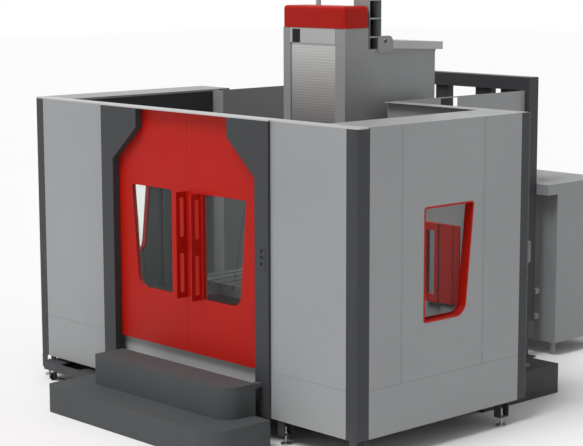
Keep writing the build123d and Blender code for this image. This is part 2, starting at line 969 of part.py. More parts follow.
def column():
    """Hollow column casting with the head opening, runners and the screw nut."""
    x0 = column_x - column_half
    x1 = column_x + column_half
    top = [
        (column_front, column_low), (column_strip_back, column_low),
        (column_strip_back, column_top_back), (slab_front, column_top_front),
        (tower_back, column_top_front), (tower_back, cap_low), (column_front, cap_low),
    ]
    body = side_slab(face_of([(y, z, 0) for y, z in top]), x0, x1)
    strip = [
        (column_side_back, column_low), (column_strip_back, column_low),
        (column_strip_back, column_top_back), (column_side_back, column_top_back),
    ]
    for x in (x0, x1 - column_strip_depth):
        body -= side_slab(face_of([(y, z, 0) for y, z in strip]), x, x + column_strip_depth)
    inner_front = column_front + column_front_wall
    inner_low = column_low + column_base
    inner_high = column_top_back - column_roof
    hollow = [
        (inner_front, inner_low), (column_side_back, inner_low),
        (column_side_back, inner_high), (inner_front, inner_high),
    ]
    body -= side_slab(face_of([(y, z, 0) for y, z in hollow]), x0 + column_wall, x1 - column_wall)
    body -= block(opening_left, opening_right, column_front, inner_front, inner_low, opening_high)
    body -= block(
        opening_left, opening_right, column_front, column_front + opening_sill, opening_low, inner_low,
    )
    for side in (-1, 1):
        for y in column_runner_y:
            body += runner(column_x + side * column_rail_reach, y, False, column_runner_half, column_low)
    nut = block(
        column_x - column_nut_half, column_x + column_nut_half,
        column_nut_front, column_nut_front + column_nut_length, bed_top + column_nut_gap, column_low,
    )
    bore = screw_radius + screw_fit
    nut -= rod((column_x, column_nut_front, screw_z), "Y", bore, column_nut_length)
    body += nut
    centre = (opening_left + opening_right) / 2
    foot = block(
        centre - screw_foot_half, centre + screw_foot_half,
        head_screw_y - screw_foot_half, column_side_back, inner_low, inner_low + screw_foot_height,
    )
    foot -= rod((centre, head_screw_y, inner_low), "Z", bore, 2 * screw_foot_height)
    body += foot
    half = motor_side / 2
    body += block(
        centre - half, centre + half, head_screw_y - half, head_screw_y + half,
        head_screw_top, inner_high,
    )
    return body


def window_plate():
    """Light plate over the slats with the black sensor window left open."""
    left = opening_left + sensor_inset
    front = column_front - window_plate_sheet
    top = cap_low - window_plate_gap
    plate = block(opening_left, opening_right, front, column_front, opening_high, top)
    plate -= block(
        left, left + sensor_width, front, column_front, opening_high, top - sensor_edge,
    )
    return plate


def red_cap():
    """Cap of the tower: folded cover with rounded top edges."""
    x0 = column_x - column_half
    x1 = column_x + column_half
    cap = block(
        x0 - cap_overlap, x1 + cap_overlap, column_front - cap_overlap, tower_back + cap_overlap,
        cap_low, cap_top,
    )
    upright = cap.edges().filter_by(Axis.Z)
    cap = fillet(upright, cap_radius)
    cap = fillet(cap.edges().group_by(Axis.Z)[-1], cap_radius - 2)
    cap -= block(
        x0 + cap_overlap, x1 - cap_overlap, column_front + cap_wall, tower_back - cap_wall,
        cap_low, cap_top - cap_wall,
    )
    return cap


def top_slab():
    """Light slab on the rear of the column."""
    x0 = column_x - column_half - slab_overhang
    x1 = column_x + column_half + slab_overhang
    slope = (column_top_back - column_top_front) / (column_strip_back - slab_front)
    z0 = column_top_front
    z1 = column_top_front + slope * (slab_back - slab_front)
    points = [
        (slab_front, z0), (slab_back, z1), (slab_back, z1 + slab_thickness),
        (slab_front, z0 + slab_thickness),
    ]
    slab = side_slab(face_of([(y, z, 0) for y, z in points]), x0, x1)
    bracket = [
        (column_strip_back, z1 - 70), (slab_back - 20, z1), (column_strip_back, z1 + 1),
    ]
    for x in (x0 + 60, x1 - 70):
        slab += side_slab(face_of([(y, z, 0) for y, z in bracket]), x, x + 10)
    return slab


def slat_curtain():
    """Roll-up curtain of hooked slats in front of the head opening."""
    x0 = opening_left + 4
    x1 = opening_right - 4
    low = head_top + fit
    slat_pitch = (opening_high - low) / slat_count
    points = [(slat_front + slat_depth, low)]
    for i in range(slat_count):
        z = low + i * slat_pitch
        points.append((slat_front + 3, z))
        points.append((slat_front, z + 7))
        points.append((slat_front + 1, z + slat_pitch - 5))
        points.append((slat_front + 5, z + slat_pitch - 3))
    points.append((slat_front + 3, opening_high))
    points.append((slat_front + slat_depth, opening_high))
    return side_slab(face_of([(y, z, 0) for y, z in points]), x0, x1)


def lifting_lugs():
    """Lifting lug plates on both sides of the column."""
    lugs = []
    front = tower_back + lug_setback
    back = slab_front - 1
    low = column_top_front - lug_drop
    top = column_top_front + lug_rise
    for side in (-1, 1):
        inner = column_x + side * column_half
        outer = inner + side * lug_sheet
        face = Sketch() + face_of([(front, low, 0), (back, low, 0), (back, top, 0), (front, top, 0)])
        face = round_corner(face, front, top, lug_radius)
        face = round_corner(face, back, top, lug_radius)
        face -= Pos(front + lug_eye_back, top - lug_eye_drop) * Circle(lug_eye_radius)
        lugs.append(side_slab(face, min(inner, outer), max(inner, outer)))
    return lugs


def head_rails():
    """Two guide rails behind the front wall of the column."""
    rails = []
    y0 = column_front + column_front_wall
    half = head_rail_width / 2
    for x in (opening_left - head_rail_inset, opening_right + head_rail_inset):
        rails.append(block(
            x - half, x + half, y0, y0 + head_rail_depth,
            column_low + head_rail_low, column_top_back - head_rail_high,
        ))
    return rails


def head():
    """Spindle head: body with guide wings, nut and nose block, then the nose and the upper shutter."""
    centre = (opening_left + opening_right) / 2
    body = block(centre - head_half, centre + head_half, head_inner_front, head_back, head_low, head_top)
    body += block(
        centre - nose_block_half, centre + nose_block_half,
        nose_block_front, head_inner_front, head_low, head_top,
    )
    front_edges = body.edges().group_by(Axis.Y)[0]
    body = chamfer(front_edges, 25)
    wing_front = column_front + column_front_wall + head_rail_depth + fit
    for x in (opening_left - head_rail_inset, opening_right + head_rail_inset):
        side = -1 if x < centre else 1
        inner = centre + side * (head_half - 20)
        outer = x + side * (head_rail_width / 2 + 12)
        x0 = min(inner, outer)
        x1 = max(inner, outer)
        body += block(x0, x1, wing_front, wing_front + 60, head_low, head_top)
        cheek_in = x - side * (head_rail_width / 2 + fit + 10)
        cheek_out = x - side * (head_rail_width / 2 + fit)
        body += block(
            min(cheek_in, cheek_out), max(cheek_in, cheek_out),
            column_front + column_front_wall + 2, wing_front, head_low, head_top,
        )
    nut = block(centre - 70, centre + 70, head_back, nut_back, head_low + 120, head_top - 60)
    nut -= rod((centre, head_screw_y, head_low), "Z", screw_radius + screw_fit, head_top - head_low)
    body += nut
    nose = rod((centre, nose_front, spindle_z), "Y", nose_radius, nose_block_front - nose_front)
    bore = rod((centre, nose_front, spindle_z), "Y", spindle_radius - 14 + 0.05, 200)
    plate_front = column_front + 2
    plate = block(
        opening_left + 6, opening_right - 6, plate_front, plate_front + shutter_sheet,
        head_low - shutter_length, head_low,
    )
    return [body - bore, nose - bore, plate]


def spindle():
    """Spindle nose with drive keys and the taper bore."""
    centre = (opening_left + opening_right) / 2
    nose = rod((centre, spindle_front, spindle_z), "Y", spindle_radius, nose_front - spindle_front)
    nose += rod((centre, nose_front, spindle_z), "Y", spindle_radius - 14, 190)
    taper = Pos(0, 0, 50) * Cone(spindle_bore, spindle_bore * 0.6, 100)
    nose -= Pos(centre, spindle_front, spindle_z) * Rot(-90, 0, 0) * taper
    for side in (-1, 1):
        x = centre + side * (spindle_bore + 14)
        nose += block(x - 8, x + 8, spindle_front - 8, spindle_front, spindle_z - 11, spindle_z + 11)
    return nose


def shutter(level, z_top):
    """Sliding plate of the telescopic shutter below the head."""
    front = column_front + 2 + level * (shutter_sheet + fit)
    return block(
        opening_left + 2, opening_right - 2, front, front + shutter_sheet,
        z_top - shutter_length, z_top,
    )


def head_screw():
    """Ball screw of the head."""
    centre = (opening_left + opening_right) / 2
    low = column_low + 65
    return rod((centre, head_screw_y, low), "Z", screw_radius, head_screw_top - low)


def cable_duct():
    """Open upright duct behind the tower with light rungs on its right side."""
    low = column_top_front
    duct = block(duct_left, duct_right, duct_front, duct_front + sheet, low, duct_top)
    duct += block(duct_left, duct_left + sheet, duct_front, duct_back, low, duct_top)
    duct += block(duct_left, duct_right, duct_back - sheet, duct_back, low, duct_top)
    count = int((duct_top - low) / duct_rung_pitch)
    for i in range(1, count + 1):
        z = low + i * duct_rung_pitch - 60
        duct += block(duct_right - 12, duct_right, duct_front, duct_back, z, z + 14)
    duct += block(duct_left, duct_right, duct_front, duct_back, duct_top, duct_top + sheet)
    return duct


def lamp_pole():
    """Pole behind the tower with a plain closed end."""
    low = column_top_front
    pole = rod((pole_x, pole_y, low), "Z", pole_radius, pole_top - low)
    pole += rod((pole_x, pole_y, low), "Z", pole_radius + 22, 12)
    return pole


def base_frame():
    """Welded frame of square tubes under the walls, with ties to the bed."""
    x1 = wall_x - skin_depth
    y0 = skin_depth + 8
    y1 = rear_skin
    low = wall_bottom
    high = wall_bottom + tube
    left = column_x - rear_bed_half
    right = column_x + rear_bed_half
    tubes = [
        block(-x1, x1, y0, y0 + tube, low, high),
        block(-x1, -x1 + tube, y0 + tube, y1, low, high),
        block(x1 - tube, x1, y0 + tube, y1, low, high),
        block(-x1 + tube, left, y1 - tube, y1, low, high),
        block(right, x1 - tube, y1 - tube, y1, low, high),
    ]
    for x in tie_places:
        tubes.append(block(x, x + tube, y0 + tube, cross_front, low, high))
        tubes.append(block(x, x + tube, cross_back, y1 - tube, low, high))
    return tubes


def chip_pan():
    """Floor sheets of the work area around the bed and around the chute over the tray."""
    x1 = wall_x - skin_depth
    y0 = skin_depth + 8
    left, right, front, back = chute
    bed_left = column_x - rear_bed_half
    bed_right = column_x + rear_bed_half
    plans = [
        (-x1, left, y0, cross_front), (right, x1, y0, cross_front),
        (left, right, y0, front), (left, right, back, cross_front),
        (-x1, -cross_half, cross_front, cross_back), (cross_half, x1, cross_front, cross_back),
        (-x1, bed_left, cross_back, rear_skin), (bed_right, x1, cross_back, rear_skin),
    ]
    return [block(*plan, pan_height, pan_height + sheet) for plan in plans]


def door_sill():
    """Light sill under the doors with a folded top that guides them."""
    x0 = door_x - doorway_half - 120
    x1 = door_x + doorway_half + 120
    sill = block(x0, x1, sill_front, sill_front + sheet, pan_height + sheet, sill_top)
    sill += block(x0, x1, sill_front + sheet, sill_front + 60, sill_top - sheet, sill_top)
    for x in (x0, x1 - sheet):
        sill += block(x, x + sheet, sill_front + sheet, sill_front + 60, pan_height + sheet, sill_top - sheet)
    return sill


def foot(x, y):
    """Levelling foot: pad, stem and two locking nuts."""
    stem = rod((x, y, 0), "Z", foot_pad_radius, foot_pad_height)
    stem += rod((x, y, foot_pad_height), "Z", foot_stem_radius, 130)
    plate_top = bracket_low + 10
    for z in (bracket_low - foot_nut_height, plate_top):
        nut = extrude(Pos(x, y, z) * RegularPolygon(foot_nut_radius, 6), foot_nut_height)
        stem += nut
    return stem


def foot_bracket(x, y):
    """Folded bracket between the base frame and a foot."""
    x0 = x - bracket_depth / 2
    x1 = x + bracket_depth / 2
    y0 = y - bracket_width / 2
    y1 = y + bracket_width / 2
    part = block(x0, x1, y0, y1, bracket_low, wall_bottom)
    part -= block(x0, x1, y0 + 8, y1 - 8, bracket_low + 10, wall_bottom - 8)
    part -= rod((x, y, bracket_low), "Z", foot_stem_radius + fit, 10)
    return part


def step_shell(x0, x1, y0, y1, z0, z1, left_radius, right_radius):
    """Folded step: top and skirt with round front corners, open below and behind."""
    outline = Sketch() + face_of([(x0, y0, 0), (x1, y0, 0), (x1, y1, 0), (x0, y1, 0)])
    outline = round_corner(outline, x0, y0, left_radius)
    outline = round_corner(outline, x1, y0, right_radius)
    body = Pos(0, 0, z0) * extrude(outline, z1 - z0)
    inner = offset(outline, -step_sheet)
    body -= Pos(0, 0, z0) * extrude(inner, z1 - z0 - step_sheet)
    return body


def lower_step():
    """Lower, wider step."""
    return step_shell(
        lower_step_left, lower_step_right, lower_step_front, lower_step_back,
        0, lower_step_top, left_step_radius, lower_step_radius,
    )


def upper_step():
    """Upper step with its bracket to the right pilaster."""
    step = step_shell(
        upper_step_left, upper_step_right, upper_step_front, upper_step_back,
        lower_step_top, upper_step_top, left_step_radius / 2, upper_step_radius,
    )
    low = upper_step_top - 40
    step += block(
        upper_step_right - 60, upper_step_right, upper_step_back, pilaster_front,
        low, upper_step_top - 8,
    )
    return step


def chip_tray():
    """Wheeled drawer with a covered front, a chip mouth and axle brackets."""
    tray = block(tray_left, tray_right, tray_front, tray_back, tray_low, tray_top)
    tray -= block(
        tray_left + tray_sheet, tray_right - tray_sheet, tray_front + tray_sheet,
        tray_back - tray_sheet, tray_low + tray_sheet, tray_top - tray_sheet,
    )
    left, right, front, back = tray_mouth
    tray -= block(left, right, front, back, tray_top - tray_sheet, tray_top)
    tray -= block(
        tray_left + 40, tray_right - 40, back + 30, tray_back - 40, tray_top - tray_sheet, tray_top,
    )
    for y in axle_y:
        for x in (caster_x[0] + 25, caster_x[1] - 35):
            lug = block(x, x + 10, y - 14, y + 14, caster_radius - 14, tray_low)
            lug -= rod((x, y, caster_radius), "X", axle_radius + axle_fit, 10)
            tray += lug
    return tray


def wheelset(y):
    """Two wheels on one axle."""
    left, right = caster_x
    axle = rod((left, y, caster_radius), "X", axle_radius, right - left)
    for x in caster_x:
        wheel = rod((x - caster_width / 2, y, caster_radius), "X", caster_radius, caster_width)
        wheel = fillet(wheel.edges().group_by(Axis.X)[0], 5)
        axle += wheel
    return axle


def magazine_base():
    """Low dark plinth behind the rear wall."""
    return block(
        magazine_base_left, magazine_base_right, magazine_base_front, magazine_base_back,
        0, magazine_base_top,
    )


def magazine_stand():
    """Stand on the plinth with an arm to the disc bearing and its drive."""
    half_x, half_y = stand_foot_half
    post_x, post_y = stand_post_half
    foot_top = magazine_base_top + stand_foot_height
    post_front = stand_y - post_y
    arm_front = post_front - arm_depth
    bearing_front = arm_front - stand_bearing
    top = disc_z + stand_rise
    stand = block(
        stand_x - half_x, stand_x + half_x, stand_y - half_y, stand_y + half_y,
        magazine_base_top, foot_top,
    )
    stand += block(stand_x - post_x, stand_x + post_x, post_front, stand_y + post_y, foot_top, top)
    stand += block(
        stand_x - post_x, disc_x + arm_reach, arm_front, post_front, disc_z - stand_drop, top,
    )
    stand += rod((disc_x, bearing_front, disc_z), "Y", bearing_radius, stand_bearing)
    drive_front = stand_y + post_y
    stand += block(
        stand_x - drive_half, stand_x + drive_half, drive_front, drive_front + drive_length,
        disc_z - drive_drop, disc_z + drive_rise,
    )
    stand -= rod((disc_x, bearing_front, disc_z), "Y", shaft_radius + shaft_fit, shaft_bore)
    return stand


def magazine_disc():
    """Round plate on its shaft, with a ring of closed tool pots on its front face."""
    plate = rod((disc_x, disc_y, disc_z), "Y", pocket_circle + 10, disc_thickness)
    bearing_front = stand_y - stand_post_half[1] - arm_depth - stand_bearing
    hub_length = bearing_front - fit - disc_hub_front
    plate += rod((disc_x, disc_hub_front, disc_z), "Y", disc_hub_radius, hub_length)
    plate += rod((disc_x, disc_y, disc_z), "Y", shaft_radius, shaft_length)
    parts = [plate]
    for i in range(pocket_count):
        turn = Rot(0, 360.0 * (i + 0.5) / pocket_count, 0)
        pot = rod((pocket_circle, -pocket_length, 0), "Y", pocket_radius, pocket_length)
        pot = chamfer(pot.edges().group_by(Axis.Y)[0], 8)
        parts.append(Pos(disc_x, disc_y, disc_z) * turn * pot)
    return parts


def magazine_guard():
    """Red frame of flat bars on the inside of the rear wall around the tool window."""
    left, right, low, high = magazine_window
    back = rear_skin
    bottom = low - 60
    top = high + 60
    return [
        block(right, right + 34, back - 50, back, bottom, top),
        block(right + 34, 1310, back - 24, back, bottom, top),
        block(1310, 1375, back - 10, back, bottom, top),
        block(left - 12, left, back - 40, back, bottom, top),
        block(left, right, back - 40, back, high, top),
        block(left, right, back - 40, back, bottom, low),
    ]


def cabinet_pin(side):
    """Hinge bracket and pins of one cabinet door."""
    edge = cabinet_left if side < 0 else cabinet_right
    outer = edge + side * 2 * pin_offset
    pin_x = edge + side * pin_offset
    pins = Part()
    for z in cabinet_hinges:
        low = z - hinge_height
        pins += block(min(edge, outer), max(edge, outer), cabinet_back - 30, cabinet_back - 2, low, z - fit)
        pins += block(pin_x - pin_radius, pin_x + pin_radius, cabinet_back - 2, pin_y, low, z - fit)
        pins += rod((pin_x, pin_y, low), "Z", pin_radius, 2 * hinge_height)
    return pins


def cabinet():
    """Electrical cabinet: box open at the back, overhanging roof, rack plate and feet."""
    t = cabinet_wall
    box = block(cabinet_left, cabinet_right, cabinet_front, cabinet_back, cabinet_low, cabinet_top)
    box -= block(
        cabinet_left + t, cabinet_right - t, cabinet_front + t, cabinet_back,
        cabinet_low + t, cabinet_top - t,
    )
    box += block(
        cabinet_left, cabinet_right, cabinet_slab_front, cabinet_back, cabinet_top, cabinet_slab_top,
    )
    for x in (cabinet_left + 90, cabinet_right - 90):
        for y in (cabinet_front + 80, cabinet_back - 80):
            box += rod((x, y, 0), "Z", 28, cabinet_low)
    box += block(
        cabinet_middle - 20, cabinet_middle + 20, cabinet_back - 40, cabinet_back,
        cabinet_low + t, cabinet_top - t,
    )
    box += block(
        cabinet_left + 120, cabinet_right - 120, cabinet_front + t, cabinet_front + t + 12,
        cabinet_low + 150, cabinet_top - 150,
    )
    return box + cabinet_pin(-1) + cabinet_pin(1)


def cabinet_door(side):
    """Cabinet door with knuckles around the hinge pins and a bar handle."""
    edge = cabinet_left if side < 0 else cabinet_right
    inner = cabinet_middle + side * 1.5
    x0 = min(edge, inner)
    x1 = max(edge, inner)
    y0 = cabinet_back + 1
    y1 = y0 + cabinet_leaf
    leaf = block(x0, x1, y0, y1, cabinet_low, cabinet_top - 2)
    leaf -= block(x0 + 3, x1 - 3, y0, y1 - 3, cabinet_low + 3, cabinet_top - 5)
    grip_x = inner + side * 60
    leaf += block(grip_x - 8, grip_x + 8, y1 + 14, y1 + 26, 740, 940)
    for z in (740, 924):
        leaf += block(grip_x - 8, grip_x + 8, y1, y1 + 14, z, z + 16)
    for z in cabinet_hinges:
        pin_x = edge + side * pin_offset
        knuckle = rod((pin_x, pin_y, z), "Z", pin_radius + 4, hinge_height)
        knuckle += block(min(edge, pin_x), max(edge, pin_x), y0, y0 + 6, z, z + hinge_height)
        leaf += knuckle
        leaf -= rod((pin_x, pin_y, z), "Z", pin_radius + 0.06, hinge_height)
    return leaf


def main_switch():
    """Rotary main switch on the right cabinet door."""
    y = cabinet_back + 1 + cabinet_leaf
    x = cabinet_right - 180
    knob = rod((x, y, switch_z), "Y", switch_radius, 12)
    knob += block(x - 10, x + 10, y + 12, y + switch_depth, switch_z - 28, switch_z + 28)
    return knob


def flip(part):
    """Copy on the other side of the machine's middle plane."""
    return mirror(part, Plane.YZ)


def flip_door(part):
    """Copy on the other side of the doorway's middle plane."""
    return mirror(part, Plane.YZ.offset(door_x))


def write(name, shapes):
    """Write one node; a list stays a group of separate solids."""
    parts = shapes if isinstance(shapes, list) else [shapes]
    solids = []
    for part in parts:
        solids.extend(part.solids())
    group = Compound(children=solids) if len(solids) > 1 else solids[0]
    export_step(Pos(0, -centre_y, 0) * group, f"parts/{name}.step")


outer_edge = door_x + doorway_half + pilaster_width
left_outer_edge = door_x - doorway_half - pilaster_width
right_pilaster = pilaster()
feet = right_feet + left_feet + rear_feet

write("right_wall", right_wall())
write("left_wall", flip(right_wall()))
write("flange_liners", liner() + [flip(part) for part in liner()])
write("window_frames", [window_frame(), flip(window_frame())])
write("wall_panes", [wall_pane(), flip(wall_pane())])
write("front_panels", [
    front_panel(outer_edge, wall_x - post_leg), front_panel(-wall_x + post_leg, left_outer_edge),
])
write("pilasters", [right_pilaster - button_openings(), flip_door(right_pilaster)])
write("corner_posts", [
    corner_post(True), corner_post(False), flip(corner_post(True)), flip(corner_post(False)),
])
write("door_guides", [front_header(), door_sill()])
write("rear_walls", rear_right_wall() + rear_left_wall())
write("bay_guards", left_guard() + right_guard())
write("rear_portal", rear_portal())
write("button_plate", button_plate())
for name, height in zip(("lower_button", "middle_button", "upper_button"), button_heights):
    write(name, button(height))
write("left_door", door(-1))
write("right_door", door(1))
write("left_door_pane", door_pane(-1))
write("right_door_pane", door_pane(1))
write("left_handle", door_handle(left_handle_x, -1))
write("right_handle", door_handle(right_handle_x, 1))
write("base_frame", base_frame() + chip_pan() + [foot_bracket(x, y) for x, y in feet])
write("levelling_feet", [foot(x, y) for x, y in feet])
write("steps", [lower_step(), upper_step()])
write("chip_tray", chip_tray())
write("front_wheelset", wheelset(axle_y[0]))
write("rear_wheelset", wheelset(axle_y[1]))
write("bed", bed())
write("linear_rails", linear_rails())
write("axis_motors", axis_motors())
write("table_screw", table_screw())
write("column_screw", column_screw())
write("saddle", saddle())
write("pallet", pallet())
write("bed_end_covers", bed_end_covers())
write("saddle_covers", saddle_covers())
write("left_middle_cover", middle_cover(-1))
write("right_middle_cover", middle_cover(1))
write("column", column())
write("column_plates", [window_plate(), shutter(2, head_low)])
write("red_cap", red_cap())
write("top_slab", top_slab())
write("slat_curtain", slat_curtain())
write("lifting_lugs", lifting_lugs())
write("head_rails", head_rails())
write("head", head())
write("spindle", spindle())
write("middle_shutter", shutter(1, head_low))
write("head_screw", head_screw())
write("cable_duct", cable_duct())
write("lamp_pole", lamp_pole())
write("magazine_base", magazine_base())
write("magazine_stand", magazine_stand())
write("magazine_disc", magazine_disc())
write("magazine_guard", magazine_guard())
write("cabinet", cabinet())
write("left_cabinet_door", cabinet_door(-1))
write("right_cabinet_door", cabinet_door(1))
write("main_switch", main_switch())
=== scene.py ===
import json
import math

import bmesh
import bpy
from mathutils import Matrix, Vector


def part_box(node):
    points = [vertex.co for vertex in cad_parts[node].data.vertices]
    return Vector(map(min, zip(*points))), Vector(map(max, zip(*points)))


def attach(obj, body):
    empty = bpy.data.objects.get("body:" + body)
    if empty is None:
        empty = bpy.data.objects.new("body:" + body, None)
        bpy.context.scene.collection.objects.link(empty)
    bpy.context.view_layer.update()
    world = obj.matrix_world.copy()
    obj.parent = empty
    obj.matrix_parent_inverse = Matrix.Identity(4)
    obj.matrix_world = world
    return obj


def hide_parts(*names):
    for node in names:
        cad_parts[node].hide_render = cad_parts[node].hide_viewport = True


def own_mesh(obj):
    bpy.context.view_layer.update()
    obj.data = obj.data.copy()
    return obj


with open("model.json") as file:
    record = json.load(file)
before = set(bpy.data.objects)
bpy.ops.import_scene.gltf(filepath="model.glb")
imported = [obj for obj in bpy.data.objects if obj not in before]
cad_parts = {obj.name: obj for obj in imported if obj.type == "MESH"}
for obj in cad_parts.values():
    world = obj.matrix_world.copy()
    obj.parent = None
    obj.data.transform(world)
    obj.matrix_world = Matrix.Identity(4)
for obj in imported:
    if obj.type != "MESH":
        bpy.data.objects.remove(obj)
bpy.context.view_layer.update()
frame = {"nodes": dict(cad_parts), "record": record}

# Sizes and places are in the drawing's millimetres, with the machine's front skin at y = 0.
# The row frame is in metres, with its origin in the middle of the footprint.
FRONT_SKIN = -1.9795


def at(x, y, z):
    """Point of the drawing as a point of the row frame."""
    return Vector((x / 1000, y / 1000 + FRONT_SKIN, z / 1000))


def shift(x, y, z):
    """Distance in the drawing as a vector of the row frame."""
    return Vector((x, y, z)) / 1000


def drawn_box(node):
    """Lowest and highest corner of a CAD node, in the drawing."""
    return [Vector((1000 * p.x, 1000 * (p.y - FRONT_SKIN), 1000 * p.z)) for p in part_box(node)]


def linear(*colour):
    """Screen colour, 0 to 1, as the linear colour that shaders take."""
    parts = [c / 12.92 if c <= 0.04045 else ((c + 0.055) / 1.055) ** 2.4 for c in colour]
    return (*parts, 1.0)


class Graph:
    """A material's nodes, with short calls for the textures that the finishes share."""

    def __init__(self, name):
        self.material = bpy.data.materials.new(name)
        self.material.use_nodes = True
        self.tree = self.material.node_tree
        self.shader = self.tree.nodes["Principled BSDF"]
        self.place = self.tree.nodes.new("ShaderNodeTexCoord").outputs["Object"]

    def link(self, source, target):
        self.tree.links.new(source, target)

    def make(self, kind, **settings):
        node = self.tree.nodes.new(kind)
        for key, value in settings.items():
            setattr(node, key, value)
        return node

    def stretched(self, stretch):
        node = self.make("ShaderNodeMapping")
        self.link(self.place, node.inputs["Vector"])
        node.inputs["Scale"].default_value = stretch
        return node.outputs["Vector"]

    def noise(self, scale, detail=3.0, roughness=0.5, stretch=None):
        node = self.make("ShaderNodeTexNoise")
        place = self.stretched(stretch) if stretch else self.place
        self.link(place, node.inputs["Vector"])
        node.inputs["Scale"].default_value = scale
        node.inputs["Detail"].default_value = detail
        node.inputs["Roughness"].default_value = roughness
        return node.outputs["Fac"]

    def span(self, value, low, high, new_low, new_high):
        node = self.make("ShaderNodeMapRange")
        self.link(value, node.inputs["Value"])
        node.inputs["From Min"].default_value = low
        node.inputs["From Max"].default_value = high
        node.inputs["To Min"].default_value = new_low
        node.inputs["To Max"].default_value = new_high
        return node.outputs["Result"]

    def spread(self, noise, new_low, new_high):
        """The middle part of a noise, where most of it lies, carried over to a new range."""
        return self.span(noise, 0.3, 0.7, new_low, new_high)

    def height(self):
        node = self.make("ShaderNodeSeparateXYZ")
        self.link(self.place, node.inputs["Vector"])
        return node.outputs["Z"]

    def times(self, a, b):
        node = self.make("ShaderNodeMath", operation="MULTIPLY")
        self.link(a, node.inputs[0])
        self.link(b, node.inputs[1])
        return node.outputs["Value"]

    def mix(self, factor, first, second):
        """Mix of two colours, each a colour or the socket of another mix."""
        node = self.make("ShaderNodeMix", data_type="RGBA")
        self.link(factor, node.inputs["Factor"])
        for socket, colour in ((node.inputs[6], first), (node.inputs[7], second)):
            if isinstance(colour, tuple):
                socket.default_value = colour
            else:
                self.link(colour, socket)
        return node.outputs[2]

    def bump(self, value, strength, distance, under=None):
        node = self.make("ShaderNodeBump")
        self.link(value, node.inputs["Height"])
        node.inputs["Strength"].default_value = strength
        node.inputs["Distance"].default_value = distance
        if under is not None:
            self.link(under, node.inputs["Normal"])
        return node.outputs["Normal"]


def scaled(colour, factor):
    """Colour made lighter or darker."""
    return tuple(min(1.0, c * factor) for c in colour[:3]) + (1.0,)


def paint(name, colour, roughness, variation=0.05, grain=0.25, dust=0.0, dust_top=0.45, shine=0.2):
    """Powder coat on sheet metal: slight cloudiness, orange peel, gentle waves, and dust low down."""
    g = Graph(name)
    base = linear(*colour)
    cloud = g.spread(g.noise(0.8, 4.0, 0.6), 0.0, 1.0)
    fine = g.spread(g.noise(38.0, 2.0), 0.0, 1.0)
    tone = g.mix(cloud, scaled(base, 1 - variation), scaled(base, 1 + variation))
    tone = g.mix(g.span(fine, 0.0, 1.0, 0.0, 0.12), tone, scaled(base, 1 - 2 * variation))
    if dust:
        low = g.span(g.height(), 0.0, dust_top, 1.0, 0.0)
        patch = g.span(g.noise(5.0, 5.0, 0.65), 0.35, 0.7, 0.0, dust)
        tone = g.mix(g.times(low, patch), tone, linear(0.62, 0.60, 0.57))
    g.link(tone, g.shader.inputs["Base Color"])
    worn = g.spread(g.noise(3.0, 4.0, 0.6), roughness - 0.06, roughness + 0.08)
    g.link(worn, g.shader.inputs["Roughness"])
    waves = g.bump(g.noise(2.2, 1.0), 0.12, 0.004)
    peel = g.bump(g.noise(340.0, 2.0), grain, 0.0004, waves)
    g.link(peel, g.shader.inputs["Normal"])
    g.shader.inputs["Specular IOR Level"].default_value = shine
    return g.material


def metal(name, colour, roughness, stretch, scale=60.0, grime=0.15):
    """Ground or brushed metal, its grain along the axis that is stretched least."""
    g = Graph(name)
    base = linear(*colour)
    grain = g.noise(scale, 3.0, 0.6, stretch)
    tone = g.mix(g.spread(grain, 0.0, 1.0), scaled(base, 0.86), scaled(base, 1.08))
    film = g.span(g.noise(2.5, 5.0, 0.65), 0.45, 0.75, 0.0, grime)
    tone = g.mix(film, tone, scaled(base, 0.45))
    g.link(tone, g.shader.inputs["Base Color"])
    g.shader.inputs["Metallic"].default_value = 1.0
    g.link(g.spread(grain, roughness - 0.07, roughness + 0.09), g.shader.inputs["Roughness"])
    g.link(g.bump(grain, 0.2, 0.0003), g.shader.inputs["Normal"])
    return g.material


def rolled(name, shaded_colour, lit_colour, low, high):
    """Rolled slats: fine grain along each slat, and painted shade and highlight: a colour that goes from
    dark at the lower to light at the upper of two heights in metres.
    """
    g = Graph(name)
    grain = g.noise(60.0, 3.0, 0.6, (0.6, 12.0, 12.0))
    # Painted shade and highlight: the slats darken towards the lower height and lighten towards the upper
    # one
    share = g.span(g.height(), low, high, 0.0, 1.0)
    tone = g.mix(share, linear(*shaded_colour), linear(*lit_colour))
    tone = g.mix(g.spread(grain, 0.0, 0.25), tone, scaled(linear(*shaded_colour), 0.8))
    g.link(tone, g.shader.inputs["Base Color"])
    g.shader.inputs["Metallic"].default_value = 0.3
    g.link(g.spread(grain, 0.38, 0.52), g.shader.inputs["Roughness"])
    g.link(g.bump(grain, 0.15, 0.0002), g.shader.inputs["Normal"])
    return g.material


def cast(name, colour, roughness=0.5):
    """Painted casting: pebbled skin under the coat, with painted shade in the hollows of the grain and
    lighter bumps.
    """
    g = Graph(name)
    base = linear(*colour)
    pebble = g.noise(70.0, 5.0, 0.6)
    # Painted shade: the colour darkens where the pebble bump dips and lightens where it rises
    tone = g.mix(g.span(pebble, 0.35, 0.65, 0.0, 1.0), scaled(base, 0.86), scaled(base, 1.07))
    stain = g.span(g.noise(1.7, 5.0, 0.7), 0.5, 0.75, 0.0, 0.3)
    tone = g.mix(stain, tone, scaled(base, 0.7))
    g.link(tone, g.shader.inputs["Base Color"])
    g.link(g.spread(pebble, roughness - 0.05, roughness + 0.1), g.shader.inputs["Roughness"])
    g.link(g.bump(pebble, 0.35, 0.0012), g.shader.inputs["Normal"])
    g.shader.inputs["Specular IOR Level"].default_value = 0.25
    return g.material


